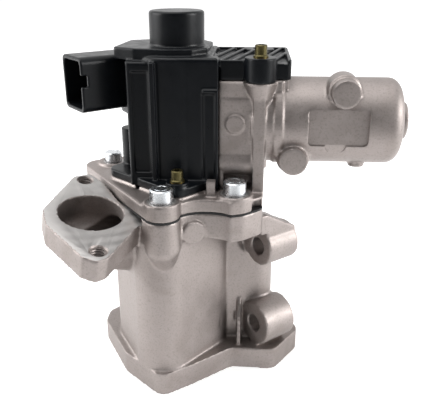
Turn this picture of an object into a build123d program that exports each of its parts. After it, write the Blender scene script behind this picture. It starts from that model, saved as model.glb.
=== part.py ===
from build123d import *
import math
import os

os.makedirs("parts", exist_ok=True)

# ---- driving sizes, mm. Z is the valve stem, X the motor axis, the foot stands on Z = 0 ----
FOOT_H = 11.5               # foot flange thickness
BODY_TOP = 89.0             # top of the valve body
RIM_H = 12.0                # depth of its joint rim
GASKET_T = 0.8
BOSS_TOP = BODY_TOP + 8.0   # screw seats and cover joint
FLOOR = BODY_TOP + 6.0      # floor inside the actuator
PORT_R, SPIGOT_R = 15.0, 17.0
SPIGOT_H = 12.0
CHAMBER_R = 17.5
SEAT_Z, SEAT_H, SEAT_R = 40.0, 6.0, 16.6
SEAT_ID = 11.5
STEM_R = 3.5
RUN = 0.03                  # radial running clearance
POPPET_R = 13.4
LIFT = 7.0
M6_R, M5_R = 2.95, 2.45
COVER_R, COVER_W = 20.0, 2.3
SCREW_A, SCREW_B = (26.7, -COVER_R - 3.9), (-3.8, -COVER_R - 15.2)   # round the cover
SCREW_C, SCREW_D = (-COVER_R - 16.3, 19.3), (-5.8, COVER_R + 10.6)
BOSS_R = 7.8

MOTOR_Z = BODY_TOP + 35.5
CAN_R, CAN_END = 19.0, 98.5
MOTOR_R = 14.7              # motor yoke, pushed in from the gear side
SPLIT_X = 19.2              # joint plane of cover and gearbox
PLATE_X0, PLATE_T = 26.5, 4.0
M0, M1 = PLATE_X0 + PLATE_T, CAN_END - 5.5   # ends of the motor's yoke
CARRIER_SCREWS = [(-10.8, MOTOR_Z - 18.5), (-8.4, MOTOR_Z + 15.5), (25.4, MOTOR_Z + 15.9), (24.0, MOTOR_Z - 17.5)]
DECK_Z = MOTOR_Z + 19.5     # top of the gearbox, under the cover's arm
FRONT_Y, REAR_Y = -17.5, 31.5

PIN_TEETH, WHEEL1_TEETH, WHEEL2_TEETH = 10, 40, 42
MOD1, MOD2 = 0.6, 0.8
CD1 = MOD1 * (PIN_TEETH + WHEEL1_TEETH) / 2
CD2 = MOD2 * (PIN_TEETH + WHEEL2_TEETH) / 2
IDLER_A = math.radians(20.0)
IDLER_Y = CD1 * math.cos(IDLER_A)
IDLER_Z = MOTOR_Z + CD1 * math.sin(IDLER_A)
CAM_Z = IDLER_Z - math.sqrt(CD2 ** 2 - IDLER_Y ** 2)
CAM_TURN = 100.0            # degrees of cam for the full lift
CAM_R0 = 12.0               # groove radius with the valve closed
CAM_X0, CAM_X1 = 9.5, 17.5
GROOVE_D = 5.5
CAM_FLOOR = CAM_X0 + GROOVE_D + 0.6   # blind end of the cam's bore, behind the groove
ROLLER_R = 3.0
ROLLER_Z = CAM_Z + CAM_R0
CAM_DISC_R = 16.5
CAM_PIN_R, IDLER_PIN_R, SHAFT_R = 2.5, 1.5, 1.5

COVER_H = 2 * COVER_R + 2.2  # its width at the joint plane
COVER_TOP = DECK_Z + 10.0
ARM_TOP = DECK_Z + 8.4      # waffle ribs of the cover's arm over the gearbox
PLATE_Z = COVER_TOP + 3.0
CAP_R, CAP_TOP = 12.0, PLATE_Z + 14.5
LOW_SCREW_Z, FRONT_SCREW_Z, REAR_SCREW_Z = BOSS_TOP + 5.6, DECK_Z + 10.0, DECK_Z + 3.4
COVER_SCREWS = [(1.9, -COVER_R - 6, LOW_SCREW_Z), (36.6, -15.0, FRONT_SCREW_Z), (12.0, COVER_R + 7, LOW_SCREW_Z),
                (36.6, 25.5, REAR_SCREW_Z)]
LOBES = [(0, 0, COVER_R + 4.3), (-COVER_R - 6.5, -2, 6), (1.9, -COVER_R - 6, 5.5), (12, COVER_R + 7, 5.5),
         (10, 8, 17.5)]

IN_C = Vector(-35.0, -32.9, BODY_TOP + 1.2)   # inlet flange face centre
IN_N = Vector(0.1741, -0.1312, 0.9759)
IN_A = Vector(0.9845, 0.0, -0.1756)
IN_R, IN_T, IN_HOLE, ELBOW = 14.0, 10.5, 3.4, 8.5
IN_HOLES = [(-9.9, 26.5), (10.2, -26.8)]
LUG_D = Vector(0.77, 0.638, 0)      # lug axes, towards the rear right
LUG_LOW, LUG_UP = Vector(36.4, -12.0, FOOT_H + 12.0), Vector(37.4, -12.0, BODY_TOP - 23.0)
LUG_L, LUG_R, LUG_HOLE = 17.5, 11.0, 4.2
THROUGH = 300.0             # longer than the valve, for cuts that go right through


def tube_z(x, y, z0, z1, r):
    return Pos(x, y, (z0 + z1) / 2) * Cylinder(r, z1 - z0)


def tube_x(x0, x1, y, z, r):
    return Pos((x0 + x1) / 2, y, z) * Rot(0, 90, 0) * Cylinder(r, x1 - x0)


def tube_y(x, y0, y1, z, r):
    return Pos(x, (y0 + y1) / 2, z) * Rot(90, 0, 0) * Cylinder(r, y1 - y0)


def block(x0, x1, y0, y1, z0, z1):
    return Pos((x0 + x1) / 2, (y0 + y1) / 2, (z0 + z1) / 2) * Box(x1 - x0, y1 - y0, z1 - z0)


def rod(start, way, length, r, r2=None):
    plane = Plane(origin=start, z_dir=way) * Pos(0, 0, length / 2)
    return plane * (Cylinder(r, length) if r2 is None else Cone(r, r2, length))


def slab(sketch, z0, z1):
    return extrude(Pos(0, 0, z0) * sketch, z1 - z0)


def side_slab(sketch, x0, x1):
    plane = Plane(origin=(x0, 0, 0), x_dir=(0, 1, 0), z_dir=(1, 0, 0))
    return extrude(plane * sketch, x1 - x0)


def hull(circles):
    return make_hull(Sketch([Pos(x, y) * Circle(r) for x, y, r in circles]).edges())


def spot(points, r):
    return Sketch() + [Pos(x, y) * Circle(r) for x, y in points]


def polygon(points, r=0):
    face = make_face(Polyline(*points, close=True))
    return fillet(face.vertices(), r) if r else face


def save(shape, name):
    export_step(shape, "parts/" + name + ".step")


def hexagon(across):
    return RegularPolygon(across / math.sqrt(3), 6)


def gear(teeth, module, tip, root, phase, thin=0.035):
    """Involute outline; phase is the angle of a tooth's centre line, thin the backlash taken off each flank."""
    rp = module * teeth / 2
    rb = rp * math.cos(math.radians(20))
    inv = lambda r: math.sqrt(max((r / rb) ** 2 - 1, 0)) - math.acos(min(rb / r, 1))
    half = math.pi / (2 * teeth) - thin / rp + inv(rp)
    radii = max(rb, root + 0.02), (rb + rp) / 2 + 0.2 * module, rp + 0.4 * tip, rp + tip
    flank = [(r, half - inv(r)) for r in radii]
    flank = [(root, flank[0][1])] + flank
    points = []
    for k in range(teeth):
        centre = phase + 2 * math.pi * k / teeth
        for r, a in flank:
            points.append((r * math.cos(centre - a), r * math.sin(centre - a)))
        for r, a in reversed(flank):
            points.append((r * math.cos(centre + a), r * math.sin(centre + a)))
    return polygon(points)


# ---- joint outline shared by body, gasket and actuator ----
def plan():
    outline = hull([(*SCREW_B, BOSS_R), (-COVER_R - 22, 18, 8), (*SCREW_D, BOSS_R), (28, COVER_R + 2, 8),
                    (*SCREW_A, BOSS_R), (33.4, -COVER_R - 0.6, 5.6)])
    return outline - Pos(15.2, -COVER_R - 25) * Circle(15.8) + spot([SCREW_A, SCREW_B], BOSS_R)


M6_POINTS = [SCREW_A, SCREW_B, SCREW_D]

# ---- valve body ----
foot_plan = polygon([(-42.5, 5), (-26.3, -23.4), (-6, -41.5), (8.1, -31), (25.8, -16.4), (47, -17), (60, 3),
                     (52, 20), (24, 24), (-4, 42), (-24, 36), (-42.5, 14)], 6.0)
tube_plan = hull([(-6.5, -23.5, 13.5), (-14.5, 0, 18.5), (4.5, -2, 18.5), (-5, 10, 20)])
body = slab(foot_plan, 0, FOOT_H) + slab(tube_plan, FOOT_H - 2, BODY_TOP - 8)
body += slab(plan(), BODY_TOP - RIM_H, BODY_TOP)
body += slab(hull([(6, 6, 14), (36, 4, 9)]), FOOT_H - 2, BODY_TOP - RIM_H - 3)
skirt = polygon([(-26, -18), (-6.5, -38), (7.5, -27.6), (16, -16), (10, 6), (-26, 6)], 4.0)
body += extrude(Pos(0, 0, FOOT_H - 1) * skirt, 46, taper=6)
column = Vector(*SCREW_B, BODY_TOP - 13)
body += [tube_z(*SCREW_B, column.Z, BODY_TOP, BOSS_R), tube_z(*SCREW_D, BODY_TOP - 25, BODY_TOP, BOSS_R)]
body += [Pos(*column) * Sphere(BOSS_R), rod(column, Vector(-0.03, 0.34, -1), 24, BOSS_R, 2.0)]
body += [rod(LUG_LOW, LUG_D, LUG_L, LUG_R), rod(LUG_UP, LUG_D, LUG_L, 9.5)]
body += block(31, 46, -6, 6, FOOT_H - 3.5, LUG_LOW.Z + 0.5)
lug_side = Plane(origin=LUG_UP, x_dir=LUG_D, z_dir=LUG_D.cross(Vector(0, 0, 1)))
slope = make_face(Polyline((-4, 0), (LUG_L, 0), (LUG_L, 8.6), (LUG_L - 2, 9.4), (0, 18), (-4, 18), close=True))
body += extrude(lug_side * slope, 7, both=True)
in_plane = Plane(origin=IN_C, x_dir=IN_A, z_dir=IN_N)
in_plan = polygon([(-19.8, -5.0), (-15.9, 28.3), (-9.4, 33.6), (16.5, 12.9), (22.9, 0.2), (14.9, -30.6), (11.4, -34.2),
                   (5.2, -32.9), (-14.8, -15.6)], 2.6)
body += extrude(in_plane * in_plan, -IN_T)
knee = IN_C - IN_N * 13
elbow = Pos(*(IN_C - IN_N * ELBOW)) * Sphere(17.3) & in_plane * Pos(0, 0, -21) * Box(50, 50, 40)
body += elbow
duct = Vector(0, 0, SEAT_Z + 20) - knee
body += rod(knee, duct, duct.length, 14.0)
body -= slab(offset(plan(), 0.9), BODY_TOP, THROUGH)
body -= [tube_z(0, 0, -1, SPIGOT_H, SPIGOT_R), tube_z(0, 0, 0, SEAT_Z, PORT_R)]
body -= [tube_z(0, 0, SEAT_Z, SEAT_Z + SEAT_H, SEAT_R), tube_z(0, 0, SEAT_Z + SEAT_H, BODY_TOP + 1, CHAMBER_R)]
pocket = rod(IN_C + IN_N, IN_N * -1, ELBOW + 10, IN_R)
body -= fillet(pocket.edges().filter_by(GeomType.CIRCLE).sort_by(Axis.Z)[0], 8)
body -= rod(knee, duct, duct.length, 10.5)
for u, v in IN_HOLES:
    at = in_plane.from_local_coords(Vector(u, v, 1))
    body -= rod(at, IN_N * -1, IN_T + 3, IN_HOLE)
for x, y in M6_POINTS:
    body -= tube_z(x, y, BODY_TOP - 9.5, BODY_TOP + 1, M6_R + 0.05)
body -= tube_z(*SCREW_C, BODY_TOP - 9.5, BODY_TOP + 1, M5_R + 0.05)
for at in (LUG_LOW, LUG_UP):
    body -= [rod(at, LUG_D * -1, 13, LUG_R), rod(at - LUG_D, LUG_D, 40, LUG_HOLE)]
for x, y in [(-6, -31), (-33.5, 6), (47.5, -1), (-6, 33)]:
    body -= tube_z(x, y, -1, 9, 2.5)
low = LUG_LOW.Z
body += side_slab(polygon([(-2, low + 17.5), (-2, low - 12.5), (-14, low - 12.5), (-11, low + 2.5)]), 28.2, 30.0)
body += extrude(Plane(origin=(9.6, -32.6, BODY_TOP - 8), z_dir=(0.45, -0.89, 0)) * Circle(5.4), -8)
save(body, "valve_body")

seat = tube_z(0, 0, SEAT_Z, SEAT_Z + SEAT_H, SEAT_R) - tube_z(0, 0, SEAT_Z, SEAT_Z + SEAT_H, SEAT_ID)
seat -= Pos(0, 0, SEAT_Z + 0.7) * Cone(SEAT_ID + 1.4, SEAT_ID, 1.4)
save(seat, "valve_seat_ring")

gasket = slab(plan(), BODY_TOP, BODY_TOP + GASKET_T) - tube_z(0, 0, 0, THROUGH, CHAMBER_R)
for x, y in M6_POINTS + [SCREW_C]:
    gasket -= tube_z(x, y, 0, THROUGH, M6_R + 0.4)
save(gasket, "body_gasket")

# ---- cast actuator housing: base, gearbox, motor can ----
BASE_Z = BODY_TOP + GASKET_T
case = slab(plan(), BASE_Z, FLOOR + 0.5)
case += [tube_z(x, y, BASE_Z, BOSS_TOP, BOSS_R) for x, y in [*M6_POINTS, SCREW_C]]
case += slab(hull(LOBES), BASE_Z, BOSS_TOP)
case += block(14.2, 18.2, -COVER_R - 6, -COVER_R - 1.6, BASE_Z, BOSS_TOP + 5.5)
gear_room = polygon([(FRONT_Y, FLOOR + 9), (FRONT_Y, DECK_Z - 7), (FRONT_Y + 4, DECK_Z), (REAR_Y, DECK_Z),
                     (REAR_Y, FLOOR + 9)], 2.5)
case += side_slab(gear_room, SPLIT_X, 35.5)
case += block(SPLIT_X, SPLIT_X + 2, FRONT_Y, REAR_Y, FLOOR, MOTOR_Z + 7.5)
case += block(SPLIT_X, 38, -7, 29, FLOOR - 2, FLOOR + 15)
case += tube_x(SPLIT_X, 35.5, -11.5, FLOOR + 13.5, 7.0)
can = tube_x(33, CAN_END, 0, MOTOR_Z, CAN_R)
can = fillet(can.edges().filter_by(GeomType.CIRCLE).sort_by(Axis.X)[-1], 5.5)
case += [can, tube_x(CAN_END - 1, CAN_END + 3.3, 0, MOTOR_Z, 8.2), tube_x(43, 46.6, 0, MOTOR_Z, CAN_R + 0.8)]
case += block(35, 46.5, -13.5, 24, MOTOR_Z - 12.5, DECK_Z)
case += block(33, 48.5, -12, REAR_Y, DECK_Z - 5, DECK_Z)
case += [Pos(36.6, y, DECK_Z - 6) * Cone(3.0, 6.8, 12) for y in (-15.0, 25.5)]
case += [block(34.2, 39.2, -19.4, -8, FLOOR - 2, DECK_Z - 6), tube_z(36.6, 25.5, FLOOR - 2, DECK_Z, 4.7)]
case += Pos(0, -13, 0) * extrude(Plane.XZ * polygon([(38, MOTOR_Z + 1.5), (43.6, DECK_Z - 1), (38, DECK_Z - 1)]), 3)
case += block(34, 39, -15, -2, FLOOR - 2, MOTOR_Z - 12.5)
high, low = MOTOR_Z + 15.3, MOTOR_Z - 14.0
case += [tube_y(72.3, -21, -6, high, 5.9), tube_y(72.3, -14.5, -4, high, 7.2)]
case += [tube_y(51.7, -15.5, -8, low, 7.3), tube_y(51.7, -21, -10, low, 6.1)]
case += tube_z(81, -4, MOTOR_Z - 20.1, MOTOR_Z - 16.5, 3.6)
case += tube_y(26.3, FRONT_Y - 0.7, FRONT_Y + 1, MOTOR_Z + 1.5, 3.9)
recess = Plane(origin=(70.4, 2.3 - CAN_R, MOTOR_Z + 0.3), x_dir=(1, 0, 0), z_dir=(0, -1, 0))
case -= extrude(recess * RectangleRounded(25.3, 15.4, 1.8), 4)
dip = Plane(origin=(69.6, 2.3 - CAN_R, MOTOR_Z - 7.4), x_dir=(1, 0, 0), z_dir=(0, -1, -0.3))
case -= extrude(dip * Circle(4.4), 6)
room = [(FRONT_Y + 2.7, FLOOR + 6), (FRONT_Y + 2.7, DECK_Z - 9), (FRONT_Y + 6.4, DECK_Z - 4), (FRONT_Y + 6.4, DECK_Z + 1),
        (REAR_Y - 2.7, DECK_Z + 1), (REAR_Y - 2.7, FLOOR + 6)]
case -= side_slab(polygon(room), SPLIT_X - 1, PLATE_X0 + PLATE_T)
case -= block(SPLIT_X - 1, 24, -6, 27, FLOOR, FLOOR + 7)
case -= [tube_x(PLATE_X0, M1 + 1, 0, MOTOR_Z, MOTOR_R + 0.1), tube_x(M1 - 3, CAN_END + 0.8, 0, MOTOR_Z, 4.5)]
case -= block(-18, SPLIT_X + 1, -18, 21, FLOOR, BOSS_TOP + 1)
case += tube_z(0, 0, BODY_TOP - 9, FLOOR, 9.5)
case -= [tube_z(0, 0, FLOOR - 3.5, FLOOR + 3, 8.0), tube_z(0, 0, 0, FLOOR, 5.5)]
for x, y in M6_POINTS:
    case -= tube_z(x, y, 0, BOSS_TOP + 1, M6_R + 0.4)
    case -= tube_z(x, y, BOSS_TOP - 0.4, BOSS_TOP + 1, 6.3)
case -= [tube_z(*SCREW_C, 0, BOSS_TOP + 1, M5_R + 0.4), tube_z(*SCREW_C, BOSS_TOP - 0.4, BOSS_TOP + 1, 5.4)]
case -= block(30, 60, -40, 40, DECK_Z, THROUGH)
for x, y, z in COVER_SCREWS:
    top = DECK_Z if z > DECK_Z else BOSS_TOP
    case -= tube_z(x, y, top - 6.9 if z < DECK_Z else top - 12, top + 1, 1.95)
case -= block(34.3, 38.7, -COVER_R - 8, -COVER_R - 1.5, BASE_Z - 1, FLOOR - 1)
for y, z in CARRIER_SCREWS:
    case -= tube_x(PLATE_X0, 34.5, y, z, 1.3)
save(case, "actuator_housing")

# ---- base screws: socket heads on the seats, shanks into the body ----
def socket_screw(x, y, shank_r, head_r, head_h, key, tip):
    top = BOSS_TOP - 0.4
    screw = tube_z(x, y, tip, top + 0.5, shank_r)
    head = tube_z(x, y, top, top + head_h, head_r)
    head = chamfer(head.edges().filter_by(GeomType.CIRCLE).sort_by(Axis.Z)[-1], 0.5)
    return screw + head - slab(Pos(x, y) * hexagon(key), top + head_h - head_h * 0.55, top + head_h + 1)


m6_screws = [socket_screw(x, y, M6_R, 5.0, 6.0, 5.0, BODY_TOP - 8.5) for x, y in M6_POINTS]
save(Compound(children=m6_screws), "base_screws_m6")
save(socket_screw(*SCREW_C, M5_R, 4.25, 5.0, 4.0, BODY_TOP - 8.5), "base_screw_m5")

# ---- valve stem with its poppet, bush, seal and return spring ----
STEM_TOP = MOTOR_Z + 9.5
SPRING_R, WIRE_R, SPRING_LOW, SPRING_TOP = 6.3, 0.75, FLOOR - 3.5, FLOOR + 12.0
CLIP_Z = SPRING_TOP + 2.0   # top of the spring's plate
bush = tube_z(0, 0, BODY_TOP - 11, FLOOR - 3.5, 5.5) - tube_z(0, 0, 0, THROUGH, STEM_R + RUN)
save(bush, "stem_guide_bush")
seal = tube_z(0, 0, FLOOR - 3.5, FLOOR - 1.6, 5.0) - tube_z(0, 0, 0, THROUGH, STEM_R + RUN)
save(seal, "stem_seal")
stem = tube_z(0, 0, SEAT_Z - 3.4, STEM_TOP, STEM_R)
stem -= tube_z(0, 0, CLIP_Z, CLIP_Z + 1.2, STEM_R + 1) - tube_z(0, 0, 0, THROUGH, STEM_R - 0.6)
poppet = tube_z(0, 0, SEAT_Z - 3.4, SEAT_Z - 0.8, POPPET_R)
poppet += Pos(0, 0, SEAT_Z - 0.03) * Cone(POPPET_R - 0.4, POPPET_R - 2.0, 1.6)
poppet += Pos(0, 0, SEAT_Z + 4.5) * Cone(8.5, STEM_R, 8)
poppet -= tube_z(0, 0, 0, THROUGH, STEM_R)
save(stem, "valve_stem")
save(poppet, "valve_poppet")
coil = Helix(pitch=(SPRING_TOP - SPRING_LOW - 2.2 * WIRE_R) / 4, height=SPRING_TOP - SPRING_LOW - 2.2 * WIRE_R,
             radius=SPRING_R, center=(0, 0, SPRING_LOW + 1.1 * WIRE_R))
wire = Plane(origin=coil @ 0, z_dir=coil % 0) * RegularPolygon(WIRE_R, 8)
save(sweep(wire, path=coil), "return_spring")
save(tube_z(0, 0, SPRING_TOP, CLIP_Z, 7.6) - tube_z(0, 0, 0, THROUGH, STEM_R), "spring_plate")
clip = tube_z(0, 0, CLIP_Z + 0.1, CLIP_Z + 1.1, 5.4) - tube_z(0, 0, 0, THROUGH, STEM_R - 0.6)
clip -= block(1, 8, -2, 2, 0, THROUGH)
save(clip, "stem_circlip")
yoke = block(-6, 8, -6, 6, ROLLER_Z - 7.5, STEM_TOP) - tube_z(0, 0, 0, THROUGH, STEM_R)
yoke = chamfer(yoke.edges().filter_by(Axis.Z).sort_by(Axis.X)[:2], 2.0)
yoke -= tube_x(4, 9, 0, ROLLER_Z, 1.75)
save(yoke, "follower_block")
save(tube_x(4.2, 9.0, 0, ROLLER_Z, 1.75) + tube_x(8.9, 14.7, 0, ROLLER_Z, 1.4), "follower_pin")
save(tube_x(9.9, 14.5, 0, ROLLER_Z, ROLLER_R) - tube_x(9, 16, 0, ROLLER_Z, 1.4 + RUN), "follower_roller")
save(tube_z(0, 0, STEM_TOP, PLATE_Z + 1, 2.2), "sensor_rod")
save(tube_z(0, 0, PLATE_Z + 1, PLATE_Z + 9, 4.0), "sensor_magnet")

# ---- gear train ----
def wheel(teeth, module, tip, root, phase, y, z, x0, x1):
    return side_slab(Pos(y, z) * gear(teeth, module, tip, root, phase), x0, x1)


MESH2 = math.atan2(IDLER_Z - CAM_Z, IDLER_Y)
MESH1 = IDLER_A
r1, r2, w1, w2 = (MOD1 * PIN_TEETH / 2, MOD2 * PIN_TEETH / 2, MOD1 * WHEEL1_TEETH / 2, MOD2 * WHEEL2_TEETH / 2)
pinion = wheel(PIN_TEETH, MOD1, MOD1, r1 - 0.85 * MOD1, MESH1, 0, MOTOR_Z, 19.6, 25.6)
save(pinion - tube_x(10, 30, 0, MOTOR_Z, SHAFT_R), "motor_pinion")
idler = wheel(WHEEL1_TEETH, MOD1, 0.6 * MOD1, w1 - 1.25 * MOD1, MESH1 + math.pi + math.pi / WHEEL1_TEETH,
              IDLER_Y, IDLER_Z, 19.8, 25.3)
idler += wheel(PIN_TEETH, MOD2, MOD2, r2 - 0.85 * MOD2, MESH2 + math.pi, IDLER_Y, IDLER_Z, 11.5, 20)
save(idler - tube_x(5, 30, IDLER_Y, IDLER_Z, IDLER_PIN_R + RUN), "idler_gear")
sector = wheel(WHEEL2_TEETH, MOD2, 0.6 * MOD2, w2 - 1.25 * MOD2, MESH2 + math.pi / WHEEL2_TEETH, 0, CAM_Z, CAM_X0,
               CAM_X1)
keep = [(0, 0)] + [(30 * math.cos(a), 30 * math.sin(a)) for a in
                   [MESH2 + math.radians(18 - 17.0 * k) for k in range(9)]]
wedge = side_slab(Pos(0, CAM_Z) * polygon(keep), CAM_X0 - 1, CAM_X1 + 1)


def spiral(offset_r):
    points = []
    for k in range(24):
        turn = -6.0 + (CAM_TURN + 12.0) * k / 23
        a = math.radians(90 - turn)
        r = CAM_R0 - LIFT * turn / CAM_TURN
        slope = LIFT / math.radians(CAM_TURN)
        out = Vector(math.cos(a) * r + math.sin(a) * slope, math.sin(a) * r - math.cos(a) * slope, 0).normalized()
        points.append((r * math.cos(a) + out.X * offset_r, r * math.sin(a) + out.Y * offset_r))
    return points


GROOVE = ROLLER_R + 0.06
outer, inner = spiral(GROOVE), spiral(-GROOVE)
middle = spiral(0)
ends = [Line(outer[-1], inner[-1]), Line(inner[0], outer[0])]
groove = make_face(Curve() + [Spline(*outer), ends[0], Spline(*reversed(inner)), ends[1]])
groove = groove + Pos(*middle[0]) * Circle(GROOVE) + Pos(*middle[-1]) * Circle(GROOVE)
cam = (tube_x(CAM_X0, CAM_X1, 0, CAM_Z, CAM_DISC_R) - wedge) + (sector & wedge)
cam -= side_slab(Pos(0, CAM_Z) * groove, CAM_X0 - 1, CAM_X0 + GROOVE_D)
cam += tube_x(CAM_X1 - 1, PLATE_X0 - 0.3, 0, CAM_Z, 5.0)
cam -= tube_x(CAM_FLOOR, 30, 0, CAM_Z, CAM_PIN_R + RUN)
save(cam, "cam_gear")
save(tube_x(CAM_FLOOR + 0.2, PLATE_X0 + PLATE_T, 0, CAM_Z, CAM_PIN_R), "cam_pin")
save(tube_x(9.6, PLATE_X0 + PLATE_T, IDLER_Y, IDLER_Z, IDLER_PIN_R), "idler_pin")
low, high = MOTOR_Z - 22.0, MOTOR_Z + 18.5
plate_plan = polygon([(FRONT_Y + 3.3, low), (REAR_Y - 3.5, low), (REAR_Y - 3.5, high), (FRONT_Y + 7.1, high),
                      (FRONT_Y + 7.1, high - 4.5), (FRONT_Y + 3.3, high - 10)], 1.2)
carrier = side_slab(plate_plan, PLATE_X0, PLATE_X0 + PLATE_T) - tube_x(20, 40, 0, MOTOR_Z, 4.0)
carrier -= [tube_x(20, 40, 0, CAM_Z, CAM_PIN_R), tube_x(20, 40, IDLER_Y, IDLER_Z, IDLER_PIN_R)]
for y, z in CARRIER_SCREWS:
    carrier -= tube_x(20, 40, y, z, 1.6)
save(carrier, "gear_carrier")
carrier_screws = []
for y, z in CARRIER_SCREWS:
    screw = tube_x(PLATE_X0 - 1.6, PLATE_X0, y, z, 2.4) + tube_x(PLATE_X0 - 1, 34, y, z, 1.25)
    carrier_screws.append(screw - side_slab(Pos(y, z) * hexagon(2.0), PLATE_X0 - 3, PLATE_X0 - 0.6))
save(Compound(children=carrier_screws), "carrier_screws")

# ---- motor ----
yoke_tube = tube_x(M0, M1, 0, MOTOR_Z, MOTOR_R) - tube_x(M0, M1 - 1.4, 0, MOTOR_Z, MOTOR_R - 1.4)
yoke_tube += tube_x(M1 - 1, M1 + 4, 0, MOTOR_Z, 4.3)
yoke_tube -= tube_x(M0, M1 + 3.2, 0, MOTOR_Z, 3.2)
save(yoke_tube, "motor_yoke")
save(tube_x(M1 - 1.8, M1 + 3.1, 0, MOTOR_Z, 3.2) - tube_x(0, THROUGH, 0, MOTOR_Z, SHAFT_R + RUN), "rear_bush")
front_bush = tube_x(PLATE_X0 - 0.4, M0 + 2, 0, MOTOR_Z, 4.0) - tube_x(0, THROUGH, 0, MOTOR_Z, SHAFT_R + RUN)
save(front_bush, "front_bush")
magnets = []
for side in (0, 180):
    arc = tube_x(M0 + 13.5, M1 - 9, 0, 0, MOTOR_R - 1.4) - tube_x(0, THROUGH, 0, 0, MOTOR_R - 4.2)
    arc -= [Rot(a, 0, 0) * block(0, THROUGH, 4.0, 30, -30, 30) for a in (20, -20)]
    magnets.append(Pos(0, 0, MOTOR_Z) * Rot(90 + side, 0, 0) * arc)
save(Compound(children=magnets), "motor_magnets")
save(tube_x(19.6, M1 + 2.6, 0, MOTOR_Z, SHAFT_R), "motor_shaft")
CORE_X0, CORE_X1 = M0 + 16.5, M1 - 13
core_plan = Circle(9.9) - [Rot(0, 0, k * 60) * Pos(8.2, 0) * Rectangle(5, 1.6) for k in range(6)]
core_plan -= [Rot(0, 0, k * 60) * Pos(6.6, 0) * RectangleRounded(3.4, 4.6, 0.8) for k in range(6)]
core = side_slab(Pos(0, MOTOR_Z) * core_plan, CORE_X0, CORE_X1) - tube_x(0, THROUGH, 0, MOTOR_Z, SHAFT_R)
save(core, "armature_core")
winding = tube_x(CORE_X0 - 3, CORE_X0, 0, MOTOR_Z, 8.8) + tube_x(CORE_X1, CORE_X1 + 3, 0, MOTOR_Z, 8.8)
wire_plan = [Rot(0, 0, k * 60) * Pos(6.7, 0) * RectangleRounded(2.8, 3.8, 0.6) for k in range(6)]
winding += [side_slab(Pos(0, MOTOR_Z) * plan_k, CORE_X0 - 0.5, CORE_X1 + 0.5) for plan_k in wire_plan]
save(winding - tube_x(0, THROUGH, 0, MOTOR_Z, 4.2), "armature_windings")
commutator = tube_x(M0 + 4, M0 + 12.5, 0, MOTOR_Z, 4.4) - tube_x(0, THROUGH, 0, MOTOR_Z, SHAFT_R)
slit = block(M0 + 3.5, M0 + 11.5, -0.25, 0.25, 3.6, 6)
commutator -= [Pos(0, 0, MOTOR_Z) * Rot(k * 60 + 30, 0, 0) * slit for k in range(6)]
save(commutator, "commutator")
holder = tube_x(M0 + 2.4, M0 + 4.6, 0, MOTOR_Z, MOTOR_R - 1.45) - tube_x(0, THROUGH, 0, MOTOR_Z, 5.2)
holder += tube_x(M0 + 4, M0 + 10.5, 0, MOTOR_Z, MOTOR_R - 1.6) - tube_x(0, THROUGH, 0, MOTOR_Z, MOTOR_R - 2.8)
save(holder - block(0, THROUGH, 0.7 - MOTOR_R, MOTOR_R - 0.7, MOTOR_Z - 2.2, MOTOR_Z + 2.2), "brush_holder")
brushes = [block(M0 + 5, M0 + 10, s * 7.95 - 3.5, s * 7.95 + 3.5, MOTOR_Z - 2.1, MOTOR_Z + 2.1) for s in (-1, 1)]
save(Compound(children=brushes), "motor_brushes")

# ---- moulded cover ----
def inner_plan():
    return Circle(COVER_R - COVER_W) + Pos((SPLIT_X + 2) / 2, 1.9) * Rectangle(SPLIT_X + 2, COVER_H - 1.8 * COVER_W)


CONN_U, CONN_W = Vector(-0.77, -0.638, 0), Vector(0.638, -0.77, 0)
CONN_C = Vector(-COVER_R - 25.6, -8.3, COVER_TOP - 13.1)
conn_plane = Plane(origin=CONN_C, x_dir=CONN_W, z_dir=CONN_U)
shell_plan = Circle(COVER_R) + Pos(SPLIT_X / 2, 1.9) * Rectangle(SPLIT_X, COVER_H)
cover = slab(shell_plan, BOSS_TOP, COVER_TOP) - block(SPLIT_X, 60, -40, 40, 0, THROUGH)
cover = fillet(cover.edges().group_by(Axis.Z)[-1], 1.6)
foot = slab(hull(LOBES), BOSS_TOP, BOSS_TOP + 3.6)
cover += foot - block(SPLIT_X, 60, -40, 40, 0, THROUGH)
cover += [tube_z(x, y, BOSS_TOP, z, 5.0) for x, y, z in (COVER_SCREWS[0], COVER_SCREWS[2])]
edge = -COVER_R - 0.4
web = block(edge, -8.3, 2.8 - COVER_R, 4, BOSS_TOP, COVER_TOP - 2)
corners = web.edges().filter_by(Axis.Z).sort_by(Axis.Y)[:2] + web.edges().group_by(Axis.Z)[-1].filter_by(Axis.X)[:1]
web = fillet(corners, 1.6)
web -= block(edge + 2.2, -10.6, 2 - COVER_R, 3.6 - COVER_R, BOSS_TOP + 6, COVER_TOP - 6)
cover += [web, block(-9.6, -7.6, -COVER_R - 0.8, 0, BOSS_TOP, COVER_TOP - 2)]
ledge = COVER_TOP - 13.0
cover += block(SPLIT_X - 1.4, SPLIT_X, -COVER_R - 0.2, 0, BOSS_TOP, ledge)
cover += block(12.6, SPLIT_X, -COVER_R - 0.2, 0, ledge - 1.5, ledge)
cover -= block(12.2, 13.0, -COVER_R, 1.6 - COVER_R, BOSS_TOP + 4, ledge - 2)
cover += tube_z(-COVER_R - 3, 6, BOSS_TOP, BOSS_TOP + 21, 5.2)
wing = hull([(4 - COVER_R, 2, 8), (-COVER_R, 8, 8), (0, 4, COVER_R - 1)])
cover += slab(wing, COVER_TOP - 28, COVER_TOP) - block(SPLIT_X, 60, -40, 40, 0, THROUGH)
cover += extrude(conn_plane * RectangleRounded(19.6, 24, 3.0), -36)
top_plan = polygon([(-26.5, -9.5), (-17, -14.4), (-3, -17.0), (8, -15.8), (14, -10), (15, 12), (8, 23), (-10, 23),
                    (-24, 16)], 2.0)
cover += slab(top_plan, COVER_TOP - 2, PLATE_Z)
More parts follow.
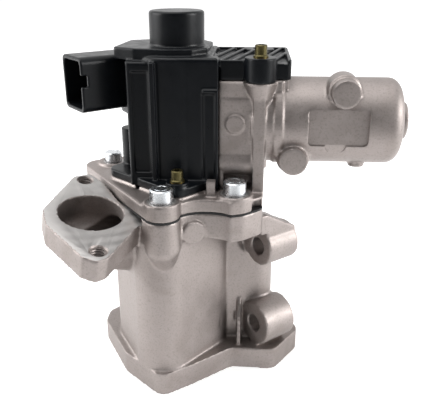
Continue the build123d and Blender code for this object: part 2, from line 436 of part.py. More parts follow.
arm_plan = polygon([(10, -13.4), (30, -13.4), (49.7, -11.6), (49.7, REAR_Y - 0.5), (10, REAR_Y - 0.5)], 2.0)
cover += slab(arm_plan, DECK_Z, ARM_TOP)
cover += [tube_z(x, y, DECK_Z, max(z, ARM_TOP), 6.7) for x, y, z in (COVER_SCREWS[1], COVER_SCREWS[3])]
cover -= slab(inner_plan(), BOSS_TOP - 1, COVER_TOP - 4) & block(-40, SPLIT_X + 0.1, -40, 40, 0, THROUGH)
cover -= block(SPLIT_X - 1, 29.5, -11, REAR_Y - 3, DECK_Z - 1, DECK_Z + 5.5)
cover -= block(16.5, 48.2, -11.9, REAR_Y - 2, DECK_Z + 6.6, THROUGH)
for k in range(6):
    rib = Pos(19 + 5.6 * k, 9, DECK_Z + 6.4) * Rot(0, 0, -14) * Box(1.5, 50, 4.0)
    cover += rib & block(15, 49, -13, REAR_Y - 1, DECK_Z + 5, ARM_TOP)
cover += [tube_z(x, y, DECK_Z + 5, max(z, ARM_TOP), 6.7) for x, y, z in (COVER_SCREWS[1], COVER_SCREWS[3])]
cap = tube_z(0, 0, PLATE_Z - 3, CAP_TOP, CAP_R)
cover += fillet(cap.edges().filter_by(GeomType.CIRCLE).sort_by(Axis.Z)[-1], 1.2)
cover -= tube_z(0, 0, COVER_TOP - 14, CAP_TOP - 2.2, CAP_R - 2.2)
cover -= extrude(conn_plane * RectangleRounded(16.2, 20.6, 1.8), -14)
cover -= extrude(conn_plane * Pos(9.2, 2) * Rectangle(4, 5), -3)
for x, y, z in COVER_SCREWS:
    cover -= tube_z(x, y, BOSS_TOP - 1 if z < DECK_Z else DECK_Z - 1, z + 6, 3.2)
terminals = [conn_plane * Pos(u, 2.0, -18) * Box(0.8, 1.6, 18) for u in (-5.6, -2.8, 0, 2.8, 5.6)]
save(Compound(children=terminals), "connector_pins")
cover -= terminals
save(cover, "actuator_cover")

sleeves = []
cover_screws = []
for x, y, z in COVER_SCREWS:
    z0 = BOSS_TOP if z < DECK_Z else DECK_Z
    sleeves.append(tube_z(x, y, z0, z, 3.2) - tube_z(x, y, z0 - 1, z + 1, 2.3))
    screw = tube_z(x, y, z0 - 6.6, z + 1, 1.9) + tube_z(x, y, z, z + 3.0, 3.1)
    screw += tube_z(x, y, z + 3.0, z + 5.2, 2.45)
    cover_screws.append(screw - slab(Pos(x, y) * hexagon(2.6), z + 3.4, z + 6))
save(Compound(children=sleeves), "cover_sleeves")
save(Compound(children=cover_screws), "cover_screws")
save(block(-7.2, -5.8, -5.8, 5.8, COVER_TOP - 8, CAP_TOP - 3.5), "sensor_board")
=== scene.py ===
import math

import bmesh
import bpy
from mathutils import Matrix, Vector


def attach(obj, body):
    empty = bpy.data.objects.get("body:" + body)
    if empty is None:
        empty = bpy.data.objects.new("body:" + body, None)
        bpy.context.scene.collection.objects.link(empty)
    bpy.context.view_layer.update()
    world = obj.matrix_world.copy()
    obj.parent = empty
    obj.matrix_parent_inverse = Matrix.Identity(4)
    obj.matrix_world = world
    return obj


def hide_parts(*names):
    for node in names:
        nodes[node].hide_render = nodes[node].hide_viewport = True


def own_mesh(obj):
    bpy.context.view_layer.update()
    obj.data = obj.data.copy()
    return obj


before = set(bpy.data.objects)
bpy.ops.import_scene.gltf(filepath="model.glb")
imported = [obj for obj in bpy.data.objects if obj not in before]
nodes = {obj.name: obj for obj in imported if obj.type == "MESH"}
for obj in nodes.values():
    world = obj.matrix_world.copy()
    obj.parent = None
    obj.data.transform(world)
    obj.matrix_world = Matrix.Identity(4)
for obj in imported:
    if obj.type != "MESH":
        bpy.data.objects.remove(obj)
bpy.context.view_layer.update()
print("frame loaded:", len(nodes), "nodes")

# ---- camera ----
view = {"place": (0.03392, -0.26840, 0.190), "tilt": 68.5, "turn": 3.6, "lens": 50.0, "sensor": 36.0}
cameraData = bpy.data.cameras.new("camera")
cameraData.lens = view["lens"]
cameraData.sensor_width = view["sensor"]
camera = bpy.data.objects.new("camera", cameraData)
camera.location = view["place"]
camera.rotation_euler = (math.radians(view["tilt"]), 0, math.radians(view["turn"]))
bpy.context.collection.objects.link(camera)
bpy.context.scene.camera = camera


# ---- small helpers, sizes in millimetres ----
def mm(*values):
    return Vector([v / 1000 for v in values])


def addPiece(name, shape, material):
    mesh = bpy.data.meshes.new(name)
    shape.to_mesh(mesh)
    shape.free()
    piece = bpy.data.objects.new(name, mesh)
    bpy.context.collection.objects.link(piece)
    mesh.materials.append(material)
    return piece


def standFor(piece, body, slot, *replaced):
    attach(piece, body)
    if replaced:
        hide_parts(*replaced)


def bakeModifiers(piece):
    graph = bpy.context.evaluated_depsgraph_get()
    mesh = bpy.data.meshes.new_from_object(piece.evaluated_get(graph))
    piece.modifiers.clear()
    piece.data = mesh


def addDisc(shape, radius, low, high, place, segments=64, top=None):
    lift = Matrix.Translation((0, 0, (low + high) / 2000))
    bmesh.ops.create_cone(shape, cap_ends=True, segments=segments, radius1=radius / 1000,
                          radius2=(radius if top is None else top) / 1000, depth=(high - low) / 1000,
                          matrix=place @ lift)


def cutAway(piece, cutter):
    cut = piece.modifiers.new("cut", "BOOLEAN")
    cut.operation, cut.object, cut.solver, cut.material_mode = "DIFFERENCE", cutter, "MANIFOLD", "TRANSFER"
    bakeModifiers(piece)
    bpy.data.objects.remove(cutter)


def spunShape(profile, segments):  # profile of (radius, height) points turned round Z, closed at the axis
    shape = bmesh.new()
    dots = [shape.verts.new(mm(r, 0, z)) for r, z in profile]
    edges = [shape.edges.new(pair) for pair in zip(dots, dots[1:])]
    bmesh.ops.spin(shape, geom=dots + edges, cent=(0, 0, 0), axis=(0, 0, 1), angle=math.tau, steps=segments,
                   use_merge=True)
    bmesh.ops.remove_doubles(shape, verts=shape.verts, dist=1e-7)
    bmesh.ops.recalc_face_normals(shape, faces=shape.faces)
    return shape


def addPrism(shape, outline, way):  # an outline of points pushed along way
    face = shape.faces.new([shape.verts.new(point) for point in outline])
    lifted = bmesh.ops.extrude_face_region(shape, geom=[face])["geom"]
    bmesh.ops.translate(shape, vec=way, verts=[v for v in lifted if isinstance(v, bmesh.types.BMVert)])
    bmesh.ops.recalc_face_normals(shape, faces=shape.faces)


def shadeTurned(piece, degrees):  # smooth, but for edges sharper than this
    piece.data.shade_smooth()
    piece.data.set_sharp_from_angle(angle=math.radians(degrees))


def threadProfile(radius, low, high, pitch, depth):  # zigzag points from low to high
    count = round((high - low) / pitch)
    points = []
    for k in range(count):
        z = low + (high - low) * k / count
        points += [(radius - depth, z), (radius, z + 0.5 * pitch)]
    return points


# ---- finishes ----
def linearColour(code):
    parts = [int(code[i:i + 2], 16) / 255 for i in (0, 2, 4)]
    return (*[c / 12.92 if c <= 0.04045 else ((c + 0.055) / 1.055) ** 2.4 for c in parts], 1)


def addNode(tree, kind, settings=None, links=None):
    node = tree.nodes.new("ShaderNode" + kind)
    for name, value in (settings or {}).items():
        if isinstance(name, str) and hasattr(node, name):
            setattr(node, name, value)
        else:
            node.inputs[name].default_value = value
    for name, source in (links or {}).items():
        tree.links.new(source, node.inputs[name])
    return node


def startMaterial(name, metallic=0.0, roughness=0.5):
    material = bpy.data.materials.new(name)
    material.use_nodes = True
    tree = material.node_tree
    shader = tree.nodes["Principled BSDF"]
    shader.inputs["Metallic"].default_value = metallic
    shader.inputs["Roughness"].default_value = roughness
    return material, tree, shader, addNode(tree, "TexCoord").outputs["Object"]


def twoTones(tree, values, amount):
    return addNode(tree, "Mix", {"data_type": "RGBA", 6: linearColour(values["dark"]),
                                 7: linearColour(values["light"])}, {0: amount}).outputs[2]


def overTone(tree, colour, amount, under):
    return addNode(tree, "Mix", {"data_type": "RGBA", 7: linearColour(colour)},
                   {0: amount, 6: under}).outputs[2]


def spread(tree, amount, band, ends):  # what lies in the band is spread from one end to the other
    return addNode(tree, "MapRange", {"From Min": band[0], "From Max": band[1], "To Min": ends[0],
                                      "To Max": ends[1]}, {"Value": amount}).outputs["Result"]


def noise(tree, place, size, settings):  # size of one patch in millimetres
    return addNode(tree, "TexNoise", {"Scale": 1000 / size, **settings}, {"Vector": place}).outputs["Fac"]


def joinLooks(tree, shader, skin, shine, relief, strength, height):  # height of the relief in millimetres
    bump = addNode(tree, "Bump", {"Strength": strength, "Distance": height / 1000}, {"Height": relief})
    tree.links.new(skin, shader.inputs["Base Color"])
    tree.links.new(shine, shader.inputs["Roughness"])
    tree.links.new(bump.outputs["Normal"], shader.inputs["Normal"])


cloudBand = (0.3, 0.7)  # where nearly all of a noise lies

castValues = {"light": "AAA29F", "dark": "8A827E", "cloudSize": 9, "stain": "6C625C", "stainSize": 34,
              "stainBand": (0.56, 0.78), "stainMost": 0.55, "speckle": "77706C", "speckleSize": 0.9,
              "speckleBand": (0.5, 0.72), "speckleMost": 0.5, "grit": 0.7, "gritHeight": 0.07,
              "gritStrength": 0.5, "roughness": (0.46, 0.60)}


def shotBlastedCastAluminium(values):  # even satin grey with a warm cast, fine grit and faint darker stains
    material, tree, shader, place = startMaterial("shotBlastedCastAluminium", metallic=1.0)
    cloud = noise(tree, place, values["cloudSize"], {"Detail": 5.0, "Roughness": 0.62})
    stain = noise(tree, place, values["stainSize"], {"Detail": 3.0, "Distortion": 0.6})
    stainAmount = spread(tree, stain, values["stainBand"], (0.0, values["stainMost"]))
    # real grit is about 0.25 mm; it is drawn coarser so that it shows
    grit = noise(tree, place, values["grit"], {"Detail": 2.0})
    worn = overTone(tree, values["stain"], stainAmount, twoTones(tree, values, cloud))
    pits = noise(tree, place, values["speckleSize"], {"Detail": 3.0, "Roughness": 0.7})
    pitAmount = spread(tree, pits, values["speckleBand"], (0.0, values["speckleMost"]))
    skin = overTone(tree, values["speckle"], pitAmount, worn)
    shine = spread(tree, cloud, cloudBand, values["roughness"])
    joinLooks(tree, shader, skin, shine, grit, values["gritStrength"], values["gritHeight"])
    return material


milledValues = {"light": "BFBCBA", "dark": "A9A6A4", "cloudSize": 7, "feed": 0.9, "feedHeight": 0.008,
                "feedStrength": 0.2, "centre": (-60, 10, 95), "roughness": (0.44, 0.56)}


def milledAluminium(values):  # bright face with shallow curved feed marks left by a face mill
    material, tree, shader, place = startMaterial("milledAluminium", metallic=1.0)
    centred = addNode(tree, "Mapping", {"Location": [-c / 1000 for c in values["centre"]]}, {"Vector": place})
    # a wave's phase is twenty times its scaled distance
    marks = addNode(tree, "TexWave", {"wave_type": "RINGS", "rings_direction": "Z",
                                      "Scale": 1000 / values["feed"] / 20, "Distortion": 0.4, "Detail": 2.0},
                    {"Vector": centred.outputs["Vector"]}).outputs["Fac"]
    skin = twoTones(tree, values, noise(tree, place, values["cloudSize"], {"Detail": 4.0}))
    shine = spread(tree, marks, (0.0, 1.0), values["roughness"])
    joinLooks(tree, shader, skin, shine, marks, values["feedStrength"], values["feedHeight"])
    return material


nylonValues = {"dark": "06080B", "light": "0C0F13", "cloudSize": 6, "grain": 0.9, "grainHeight": 0.03,
               "grainStrength": 0.3, "ior": 1.53, "specular": 0.2, "roughness": (0.26, 0.42)}


def mouldedGlassFilledNylon(values):  # near black and satin, with a cloudy sheen from glass fibre at the skin
    material, tree, shader, place = startMaterial("mouldedGlassFilledNylon")
    shader.inputs["IOR"].default_value = values["ior"]
    shader.inputs["Specular IOR Level"].default_value = values["specular"]
    cloud = noise(tree, place, values["cloudSize"], {"Detail": 6.0, "Roughness": 0.65})
    grain = noise(tree, place, values["grain"], {"Detail": 2.0})
    shine = spread(tree, cloud, cloudBand, values["roughness"])
    joinLooks(tree, shader, twoTones(tree, values, cloud), shine, grain, values["grainStrength"],
              values["grainHeight"])
    return material


grainStrength = 0.3


def fineFinish(name, values):  # two tones of one stuff, mixed by a grain stretched as it was worked
    material, tree, shader, place = startMaterial(name, metallic=values.get("metallic", 0.0))
    if "ior" in values:
        shader.inputs["IOR"].default_value = values["ior"]
    stretch = [1000 / (values["grain"] * s) for s in values.get("stretch", (1, 1, 1))]
    worked = addNode(tree, "Mapping", {"Scale": stretch}, {"Vector": place})
    grain = addNode(tree, "TexNoise", {"Scale": 1.0, "Detail": 3.0, "Roughness": 0.55},
                    {"Vector": worked.outputs["Vector"]}).outputs["Fac"]
    shine = spread(tree, grain, cloudBand, values["roughness"])
    joinLooks(tree, shader, twoTones(tree, values, grain), shine, grain, grainStrength, values["height"])
    return material


# each row: how it was made gives the eye its grain, its two tones and its gloss
finishValues = {
    "brightZincPlate": dict(light="E6E8EA", dark="C6CACE", metallic=1.0, roughness=(0.22, 0.34), grain=1.6,
                            height=0.01),  # cold mirror-like plating with a faint mottle
    "yellowZincPlate": dict(light="6E6646", dark="3C3722", metallic=1.0, roughness=(0.3, 0.46), grain=2.2,
                            height=0.01),  # olive passivation, blotchy
    "rubberCoatedSteel": dict(light="1A1A1B", dark="0B0B0C", roughness=(0.6, 0.75), grain=0.8,
                              height=0.02),  # dull black
    "groundStainlessSteel": dict(light="C9C8C6", dark="A5A4A2", metallic=1.0, roughness=(0.2, 0.32),
                                 grain=0.5, stretch=(1, 1, 0.3), height=0.004),  # fine rings round the stem
    "turnedSteel": dict(light="BDBCBA", dark="94938F", metallic=1.0, roughness=(0.26, 0.4), grain=0.5,
                        stretch=(0.3, 1, 1), height=0.006),  # tool lines across the turned axis
    "sinteredBronze": dict(light="B08A55", dark="7F6038", metallic=1.0, roughness=(0.4, 0.55), grain=0.35,
                           height=0.02),  # open pores darken it
    "filledPtfe": dict(light="3A332C", dark="221D19", roughness=(0.45, 0.55), grain=0.6, height=0.005,
                       ior=1.38),  # brown black and waxy
    "shotPeenedSpringSteel": dict(light="8C8C8E", dark="5C5C60", metallic=1.0, roughness=(0.34, 0.5),
                                  grain=0.4, height=0.012),  # grey, finely dimpled
    "mouldedNaturalNylon": dict(light="E2DAC4", dark="CFC5AB", roughness=(0.34, 0.46), grain=2.5,
                                height=0.006, ior=1.53),  # waxy ivory
    "mouldedGlassFilledGearNylon": dict(light="C9C2B0", dark="AFA793", roughness=(0.42, 0.55), grain=0.8,
                                        height=0.012, ior=1.53),  # greyer, with glass fibre in the skin
    "sinteredFerrite": dict(light="2B2B2D", dark="18181A", roughness=(0.5, 0.65), grain=0.7,
                            height=0.02),  # charcoal
    "turnedBrass": dict(light="D9B871", dark="B38F48", metallic=1.0, roughness=(0.2, 0.34), grain=0.6,
                        height=0.005),  # warm and bright
    "deepDrawnZincedSteel": dict(light="B4B7BA", dark="8B8E92", metallic=1.0, roughness=(0.28, 0.42),
                                 grain=1.4, stretch=(4, 1, 1), height=0.01),  # long draw marks down the can
    "enamelledCopperWire": dict(light="B4632F", dark="7A3C1A", metallic=1.0, roughness=(0.2, 0.34), grain=0.5,
                                stretch=(6, 1, 1), height=0.05),  # laid turns under varnish
    "machinedCopper": dict(light="D38B62", dark="A9623D", metallic=1.0, roughness=(0.25, 0.4), grain=0.5,
                           stretch=(0.3, 1, 1), height=0.006),  # skimmed bars
    "etchedCircuitBoard": dict(light="1F5B33", dark="123D21", roughness=(0.3, 0.42), grain=1.2, height=0.01,
                               ior=1.5),  # green lacquer over the weave
}
finish = {name: fineFinish(name, values) for name, values in finishValues.items()}
bodyMetal = shotBlastedCastAluminium(castValues)
milledMetal = milledAluminium(milledValues)
coverNylon = mouldedGlassFilledNylon(nylonValues)
print("finishes made:", len(finish) + 3)

nodeFinish = {
    "body_gasket": "rubberCoatedSteel", "valve_seat_ring": "turnedSteel", "stem_guide_bush": "sinteredBronze",
    "stem_seal": "filledPtfe", "valve_stem": "groundStainlessSteel", "valve_poppet": "groundStainlessSteel",
    "return_spring": "shotPeenedSpringSteel", "stem_circlip": "shotPeenedSpringSteel",
    "spring_plate": "turnedSteel",
    "follower_block": "mouldedNaturalNylon", "follower_pin": "turnedSteel", "follower_roller": "turnedSteel",
    "sensor_rod": "mouldedNaturalNylon", "sensor_magnet": "sinteredFerrite", "motor_pinion": "turnedBrass",
    "idler_gear": "mouldedNaturalNylon", "cam_gear": "mouldedGlassFilledGearNylon", "cam_pin": "turnedSteel",
    "idler_pin": "turnedSteel", "gear_carrier": "deepDrawnZincedSteel", "carrier_screws": "brightZincPlate",
    "motor_yoke": "deepDrawnZincedSteel", "rear_bush": "sinteredBronze", "front_bush": "sinteredBronze",
    "motor_magnets": "sinteredFerrite", "motor_shaft": "groundStainlessSteel",
    "armature_core": "deepDrawnZincedSteel", "armature_windings": "enamelledCopperWire",
    "commutator": "machinedCopper", "motor_brushes": "sinteredFerrite",
    "cover_sleeves": "turnedBrass", "connector_pins": "turnedBrass", "sensor_board": "etchedCircuitBoard",
}
for name, choice in nodeFinish.items():
    for holder in nodes[name].material_slots:
        holder.material = finish[choice]
for holder in nodes["brush_holder"].material_slots:
    holder.material = coverNylon


# ---- castings and moulding: the CAD shape with its edges rounded as a mould leaves them ----
def roundedCopy(node, name, voxel, rounds, keep, material):
    mesh = nodes[node].data.copy()
    piece = bpy.data.objects.new(name, mesh)
    bpy.context.collection.objects.link(piece)
    shape = bmesh.new()
    shape.from_mesh(mesh)
    bmesh.ops.remove_doubles(shape, verts=shape.verts, dist=1e-6)
    shape.to_mesh(mesh)
    shape.free()
    remesh = piece.modifiers.new("voxels", "REMESH")
    remesh.mode, remesh.voxel_size = "VOXEL", voxel / 1000
    smooth = piece.modifiers.new("softEdges", "SMOOTH")
    smooth.iterations, smooth.factor = rounds, 0.5
    fewer = piece.modifiers.new("fewer", "DECIMATE")
    fewer.ratio = keep
    bakeModifiers(piece)
    piece.data.materials.clear()
    piece.data.materials.append(material)
    piece.data.shade_smooth()
    return piece


castingEdge = 38  # degrees above which an edge of a casting stays crisp
bodyValues = {"voxel": 0.6, "rounds": 4, "keep": 0.45, "inletCentre": (-35.0, -32.9, 90.2),
              "inletWay": (0.1741, -0.1312, 0.9759), "inletAlong": (0.9845, 0, -0.1756), "inletRadius": 14.0,
              "boreDepth": 2.5, "skim": 0.12, "millOver": (1.05, 1.04), "cutHigh": 3,
              "flange": ((-19.8, -5.0), (-15.9, 28.3), (-9.4, 33.6), (16.5, 12.9), (22.9, 0.2), (14.9, -30.6),
                         (11.4, -34.2), (5.2, -32.9), (-14.8, -15.6)),
              "boltPlaces": ((-9.9, 26.5), (10.2, -26.8)), "boltRadius": 3.35, "boltDepth": 11.5,
              "sinkLow": -0.75, "sinkHigh": 0.25, "sinkWider": 1.0}


def inletPlane(values):  # u runs along the flange, w out of it
    way = Vector(values["inletWay"]).normalized()
    along = Vector(values["inletAlong"]).normalized()
    side = way.cross(along)
    turn = Matrix((along, side, way)).transposed().to_4x4()
    return Matrix.Translation(mm(*values["inletCentre"])) @ turn


def castBody(values):
    piece = roundedCopy("valve_body", "bodyCasting", values["voxel"], values["rounds"], values["keep"],
                        bodyMetal)
    plane = inletPlane(values)
    wider, taller = values["millOver"]
    shape = bmesh.new()
    addPrism(shape, [plane @ mm(u * wider, v * taller, -values["skim"]) for u, v in values["flange"]],
             mm(*values["inletWay"]) * values["cutHigh"])
    cutAway(piece, addPiece("mill", shape, milledMetal))
    shape = bmesh.new()
    addDisc(shape, values["inletRadius"], -values["boreDepth"], values["cutHigh"], plane, 96)
    cutAway(piece, addPiece("bore", shape, bodyMetal))
    shape = bmesh.new()
    radius = values["boltRadius"]
    for u, v in values["boltPlaces"]:
        spot = plane @ Matrix.Translation(mm(u, v, 0))
        addDisc(shape, radius, -values["boltDepth"], 2, spot, 40)
        addDisc(shape, radius, values["sinkLow"], values["sinkHigh"], spot, 40,
                top=radius + values["sinkWider"])
    cutAway(piece, addPiece("drill", shape, bodyMetal))
    piece.data.set_sharp_from_angle(angle=math.radians(castingEdge))
    return piece


body = castBody(bodyValues)
standFor(body, "frame", "cast_body", "valve_body")
print("body casting:", len(body.data.polygons), "faces")

housingValues = {"voxel": 0.52, "rounds": 4, "keep": 0.5, "seatTop": 96.6,
                 "seats": ((26.7, -23.9, 6.2), (-3.8, -35.2, 6.2), (-5.8, 30.6, 6.2), (-36.3, 19.3, 5.3)),
                 "spotLow": 0.02, "spotHigh": 1.2, "label": (70.4, -16.65, 124.8), "labelSize": (25.6, 15.7),
                 "labelRound": 1.9, "labelWay": (0, -5, 0), "dip": (69.6, 4.5, 117.3), "dipDeep": 8,
                 "dipLean": 16.7}


def castHousing(values):
    piece = roundedCopy("actuator_housing", "housingCasting", values["voxel"], values["rounds"],
                        values["keep"], bodyMetal)
    top = values["seatTop"]
    shape = bmesh.new()
    for x, y, radius in values["seats"]:
        addDisc(shape, radius, top - values["spotLow"], top + values["spotHigh"],
                Matrix.Translation(mm(x, y, 0)))
    cutAway(piece, addPiece("spotFacer", shape, milledMetal))
    shape = bmesh.new()
    wide, high, r = *[side / 2 for side in values["labelSize"]], values["labelRound"]
    x, y, z = values["label"]
    ring = [(x + sx * (wide - r) + r * math.cos(a), z + sz * (high - r) + r * math.sin(a))
            for quarter, (sx, sz) in enumerate(((1, 1), (-1, 1), (-1, -1), (1, -1)))
            for a in [math.radians(90 * quarter + 15 * k) for k in range(7)]]
    addPrism(shape, [mm(px, y, pz) for px, pz in ring], mm(*values["labelWay"]))
    cutAway(piece, addPiece("labelRecess", shape, bodyMetal))
    shape = bmesh.new()
    x, radius, z = values["dip"]
    lean = Matrix.Rotation(math.radians(90 + values["dipLean"]), 4, "X")
    addDisc(shape, radius, 0, values["dipDeep"], Matrix.Translation(mm(x, y, z)) @ lean)
    cutAway(piece, addPiece("recessDip", shape, bodyMetal))
    piece.data.set_sharp_from_angle(angle=math.radians(castingEdge))
    return piece


housing = castHousing(housingValues)
standFor(housing, "frame", "cast_housing", "actuator_housing")
print("housing casting:", len(housing.data.polygons), "faces")

coverValues = {"voxel": 0.45, "rounds": 2, "keep": 0.5}
cover = roundedCopy("actuator_cover", "coverMoulding", coverValues["voxel"], coverValues["rounds"],
                    coverValues["keep"], coverNylon)
standFor(cover, "frame", "plastic", "actuator_cover")
wallValues = {"low": (17.2, 21.6, 97.3), "high": (19.1, 31.2, 143.8), "round": 0.6}


def rearWall(values):  # strip of the moulding that closes the gear room beside the cover's rear wall
    shape = bmesh.new()
    middle = (mm(*values["low"]) + mm(*values["high"])) / 2
    bmesh.ops.create_cube(shape, size=1.0)
    bmesh.ops.scale(shape, vec=mm(*values["high"]) - mm(*values["low"]), verts=shape.verts)
    bmesh.ops.translate(shape, vec=middle, verts=shape.verts)
    bmesh.ops.bevel(shape, geom=shape.edges[:], offset=values["round"] / 1000, segments=3, profile=0.5,
                    affect="EDGES", material=-1)
    return addPiece("coverRearWall", shape, coverNylon)


standFor(rearWall(wallValues), "frame", "plastic")
print("cover moulding:", len(cover.data.polygons), "faces")

# ---- threads in the inlet flange's two bolt holes ----
threadValues = {"outer": 3.7, "inner": 2.95, "deep": 0.55, "pitch": 1.25, "low": -11.0, "high": -0.9}


def tappedHoles(values):
    shape = bmesh.new()
    steps = round((values["high"] - values["low"]) / values["pitch"] * 2)
    teeth = [(values["inner"] + (values["deep"] if k % 2 else 0), values["low"] + k * values["pitch"] / 2)
             for k in range(steps + 1)]
    profile = teeth + [(values["outer"], teeth[-1][1]), (values["outer"], values["low"]), teeth[0]]
    for u, v in bodyValues["boltPlaces"]:
        ring = spunShape(profile, 40)
        place = inletPlane(bodyValues) @ Matrix.Translation(mm(u, v, 0))
        bmesh.ops.transform(ring, matrix=place, verts=ring.verts)
        copy = bpy.data.meshes.new("ring")
        ring.to_mesh(copy)
        ring.free()
        shape.from_mesh(copy)
    return addPiece("inletThreads", shape, bodyMetal)


standFor(tappedHoles(threadValues), "frame", "cast_body")

# ---- socket head screws ----
screwValues = {
    "m6": {"head": 5.0, "headHigh": 6.0, "key": 5.0, "keyDeep": 3.2, "shank": 2.93, "pitch": 1.0,
           "tip": 80.5},
    "m5": {"head": 4.25, "headHigh": 5.0, "key": 4.0, "keyDeep": 2.6, "shank": 2.43, "pitch": 0.8,
           "tip": 80.5},
}
knurlCount, knurlShare = 96, 0.972  # every second vertical of the head is drawn in to this share
screwEdge = 30


def socketScrews(name, values, places):
    top = housingValues["seatTop"]
    high = top + values["headHigh"]
    head, shank = values["head"], values["shank"]
    thread = threadProfile(shank, values["tip"] + 0.6, top - 5, values["pitch"], 0.35)
    profile = [(0, values["tip"]), (shank - 0.6, values["tip"])] + thread + [
        (shank, top - 4.5), (shank, top), (head - 0.25, top), (head, top + 0.25), (head, top + 0.7),
        (head, high - 0.9), (head - 0.08, high - 0.5), (head - 0.55, high), (values["key"] * 0.66, high),
        (0, high)]
    shape = spunShape(profile, knurlCount)
    for vert in shape.verts:  # knurl
        reach = Vector((vert.co.x, vert.co.y)).length * 1000
        step = round(math.atan2(vert.co.y, vert.co.x) / math.tau * knurlCount)
        if step % 2 and abs(reach - head) < 0.05 and top + 0.5 < vert.co.z * 1000 < high - 0.7:
            vert.co.x, vert.co.y = vert.co.x * knurlShare, vert.co.y * knurlShare
    template = addPiece(name + "Template", shape, finish["brightZincPlate"])
    shape = bmesh.new()
    across = values["key"] / math.sqrt(3)
    floor, upright = high - values["keyDeep"], Matrix.Identity(4)
    addDisc(shape, across, floor, high + 1, upright, 6)
    addDisc(shape, across * 0.2, floor - 1.0, floor + 0.02, upright, 6, top=across * 0.98)
    addDisc(shape, across * 0.92, high - 0.22, high + 0.3, upright, 48, top=across * 1.22)
    cutAway(template, addPiece("key", shape, finish["brightZincPlate"]))
    shape = bmesh.new()
    for x, y in places:
        copy = template.data.copy()
        copy.transform(Matrix.Translation(mm(x, y, 0)))
        shape.from_mesh(copy)
    bpy.data.objects.remove(template)
    piece = addPiece(name, shape, finish["brightZincPlate"])
    shadeTurned(piece, screwEdge)
    return piece


seats = [(x, y) for x, y, radius in housingValues["seats"]]
standFor(socketScrews("seatScrewsM6", screwValues["m6"], seats[:3]), "frame", "zinc_screw", "base_screws_m6")
standFor(socketScrews("seatScrewM5", screwValues["m5"], seats[3:]), "frame", "zinc_screw", "base_screw_m5")
print("seat screws made")

# ---- lobed-drive screws of the cover ----
lobedValues = {"places": ((1.9, -26.0, 102.6, 97.0), (36.6, -15.0, 154.0, 144.0), (12.0, 27.0, 102.6, 97.0),
                          (36.6, 25.5, 147.4, 144.0)),
               "flange": 3.1, "head": 2.6, "high": 5.1, "lobe": 1.5, "lobeWave": 0.24, "lobeDeep": 2.4,
               "shank": 1.88, "deep": 6.5, "pitch": 1.6, "threadDeep": 0.3}


def lobedScrews(values):
    shape = bmesh.new()
    for x, y, z, under in values["places"]:
        head, high, flange, shank = values["head"], values["high"], values["flange"], values["shank"]
        thread = threadProfile(shank, under - values["deep"] + 0.8 - z, under - 0.5 - z, values["pitch"],
                               values["threadDeep"])
        profile = [(0, under - values["deep"] - z), (shank - 0.5, under - values["deep"] - z)] + thread + [
            (shank, 0), (flange, 0), (flange, 0.7), (flange - 0.3, 1.0), (head, 1.15), (head, high - 0.35),
            (head - 0.35, high), (0, high)]
        screw = addPiece("screw", spunShape(profile, 60), finish["yellowZincPlate"])
        drive = bmesh.new()
        addDisc(drive, values["lobe"], high - values["lobeDeep"], high + 1, Matrix.Identity(4), 60)
        for vert in drive.verts:
            reach = values["lobe"] + values["lobeWave"] * math.cos(6 * math.atan2(vert.co.y, vert.co.x))
            vert.co.x, vert.co.y = [c * reach / values["lobe"] for c in vert.co.xy]
        cutAway(screw, addPiece("drive", drive, finish["yellowZincPlate"]))
        screw.data.transform(Matrix.Translation(mm(x, y, z)))
        shape.from_mesh(screw.data)
        bpy.data.objects.remove(screw)
    piece = addPiece("coverScrews", shape, finish["yellowZincPlate"])
    shadeTurned(piece, screwEdge)
    return piece


standFor(lobedScrews(lobedValues), "frame", "yellow_zinc", "cover_screws")
print("cover screws made")

# ---- return spring, drawn at one length (the real one shortens as the valve opens) ----
springValues = {"radius": 6.3, "wire": 0.75, "low": 91.5, "top": 107.0, "turns": 4, "steps": 36,
                "sides": 12, "endGap": 1.1, "travel": 7.0}


def coiledSpring(values):
    shape = bmesh.new()
    wire, sides, count = values["wire"], values["sides"], values["turns"] * values["steps"]
    low, high = values["low"] + values["endGap"] * wire, values["top"] - values["endGap"] * wire
    rings = []
    for k in range(count + 1):
        turn = math.tau * k / values["steps"]
        ring = []
        for side in range(sides):
            around = math.tau * side / sides
            reach = values["radius"] + wire * math.cos(around)
            height = low + (high - low) * k / count + wire * math.sin(around)
            ring.append(shape.verts.new(mm(reach * math.cos(turn), reach * math.sin(turn), height)))
        rings.append(ring)
    for ring, after in zip(rings, rings[1:]):
        for side in range(sides):
            other = (side + 1) % sides
            shape.faces.new((ring[side], ring[other], after[other], after[side]))
    shape.faces.new(rings[0])
    shape.faces.new(rings[-1])
    bmesh.ops.recalc_face_normals(shape, faces=shape.faces)
    piece = addPiece("returnSpring", shape, finish["shotPeenedSpringSteel"])
    shadeTurned(piece, 50)
    return piece


spring = coiledSpring(springValues)
standFor(spring, "frame", "spring", "return_spring")
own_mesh(spring)
print("return spring made")
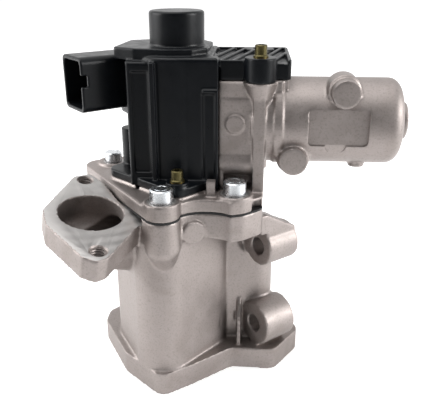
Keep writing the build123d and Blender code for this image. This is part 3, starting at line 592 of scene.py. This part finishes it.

# ---- floor and light ----
# the floor's painted glow and painted shade are both graded along Y
floorValues = {"half": 14.0, "roughness": 0.9, "paintedGlowBand": (-0.7, -0.05), "paintedGlow": (0.04, 0.3),
               "paintedShadeBand": (-0.45, -0.05), "paintedShade": (0.2, 0.93)}
shape = bmesh.new()
bmesh.ops.create_grid(shape, x_segments=1, y_segments=1, size=floorValues["half"])
floorPaper, tree, paper, place = startMaterial("mattPaperPaintedShadeAndGlow", roughness=floorValues["roughness"])
paper.inputs["Emission Color"].default_value = (1, 1, 1, 1)
# painted shade and painted glow: the paper's colour and emission are graded along Y, so it shows white under
# and behind the valve and is painted darker in front of it
fore = addNode(tree, "SeparateXYZ", None, {"Vector": place}).outputs["Y"]
paintedGlow = spread(tree, fore, floorValues["paintedGlowBand"], floorValues["paintedGlow"])
paintedShade = spread(tree, fore, floorValues["paintedShadeBand"], floorValues["paintedShade"])
tree.links.new(paintedGlow, paper.inputs["Emission Strength"])
tree.links.new(paintedShade, paper.inputs["Base Color"])
floor = addPiece("floor", shape, floorPaper)

studio = {"sky": (1.0, 1.0, 1.0, 1), "band": (-0.9, 0.2), "strength": (0.05, 1.05), "aim": (20, 0, 80),
          "lamps": (("topSoftbox", (-0.25, -0.1, 1.3), 1.2, 11.0),
                    ("leftSoftbox", (-1.0, -0.1, 0.45), 0.7, 9.0),
                    ("rightSoftbox", (1.0, -0.25, 0.42), 0.5, 9.0))}
world = bpy.data.worlds.new("studio")
world.use_nodes = True
sky = world.node_tree
way = addNode(sky, "TexCoord").outputs["Generated"]
parts = addNode(sky, "SeparateXYZ", None, {"Vector": way})
level = spread(sky, parts.outputs["Y"], studio["band"], studio["strength"])
sky.nodes["Background"].inputs["Color"].default_value = studio["sky"]
sky.links.new(level, sky.nodes["Background"].inputs["Strength"])
bpy.context.scene.world = world
for name, place, size, power in studio["lamps"]:
    lamp = bpy.data.lights.new(name, "AREA")
    lamp.size, lamp.energy = size, power
    stand = bpy.data.objects.new(name, lamp)
    stand.location = place
    stand.rotation_euler = (mm(*studio["aim"]) - Vector(place)).to_track_quat("-Z", "Y").to_euler()
    bpy.context.collection.objects.link(stand)
bpy.context.scene.view_settings.view_transform = "Standard"
